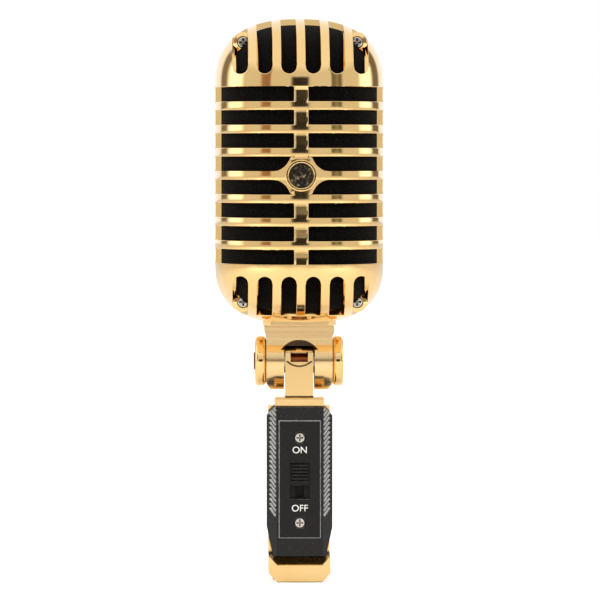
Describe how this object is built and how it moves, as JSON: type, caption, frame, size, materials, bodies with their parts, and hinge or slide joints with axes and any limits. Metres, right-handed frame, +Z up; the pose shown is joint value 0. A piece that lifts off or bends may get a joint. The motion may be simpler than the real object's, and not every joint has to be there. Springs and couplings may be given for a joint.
{
  "type": "karaoke microphone",
  "caption": "Retro ribbed vocal microphone in polished gold with a foam-lined head on a tilting swivel and a short handle with an on/off slide switch and a stand thread.",
  "frame": {"origin": "centre of the stand thread in the bottom face of the handle", "axes": "+Z up along the handle, -Y is the front with the badge and the switch, +X to the right as seen from the front"},
  "size_m": [0.0562, 0.0785, 0.1865],
  "materials": {
    "gold_plate": "polished",
    "black_cover": "satin",
    "foam": "matte",
    "steel": "satin",
    "screw_steel": "polished",
    "badge_enamel": "gloss",
    "capsule_plastic": "matte",
    "membrane": "gloss",
    "copper": "satin",
    "magnet_alloy": "satin",
    "rubber": "matte",
    "insert_brass": "satin",
    "socket_plastic": "matte",
    "lead_sheath": "satin"
  },
  "bodies": {
    "handle": {"handle_body": "gold_plate", "switch_cover": "black_cover", "switch_plate": "black_cover", "switch_plate_screws": "screw_steel", "slide_switch_body": "steel", "switch_terminals": "copper", "xlr_shell": "steel", "xlr_insert": "socket_plastic", "xlr_pins": "screw_steel", "xlr_screw": "screw_steel", "stand_thread_insert": "insert_brass", "handle_lead": "lead_sheath"},
    "head": {"front_grille": "gold_plate", "rear_grille": "gold_plate", "housing_screws": "screw_steel", "badge_ring": "gold_plate", "badge_disc": "badge_enamel", "front_foam": "foam", "rear_foam": "foam", "capsule_body": "capsule_plastic", "capsule_grille": "steel", "pole_piece": "steel", "magnet": "magnet_alloy", "magnet_cup": "steel", "capsule_isolator": "rubber", "capsule_bracket": "steel", "capsule_lead": "lead_sheath", "yoke_flange": "gold_plate", "yoke_screws": "steel", "swivel_yoke": "gold_plate", "friction_washers": "steel", "pivot_cap_left": "gold_plate", "pivot_cap_right": "gold_plate", "pivot_bolt": "gold_plate", "pivot_nut": "gold_plate"},
    "switch_slider": {"switch_knob": "black_cover", "switch_stem": "capsule_plastic"},
    "diaphragm_assembly": {"diaphragm": "membrane", "voice_coil": "copper"}
  },
  "joints": [
    {"name": "head_tilt", "type": "hinge", "parent": "handle", "child": "head", "pos_m": [0, 0, 0.0729], "axis": [-1, 0, 0], "range_deg": [-15, 50]},
    {"name": "switch_slide", "type": "slide", "parent": "handle", "child": "switch_slider", "axis": [0, 0, 1], "range_m": [-0.0055, 0]},
    {"name": "diaphragm_travel", "type": "slide", "parent": "head", "child": "diaphragm_assembly", "axis": [0, 1, 0], "range_m": [-0.0003, 0.0003], "stiffness_N_per_m": 250}
  ]
}
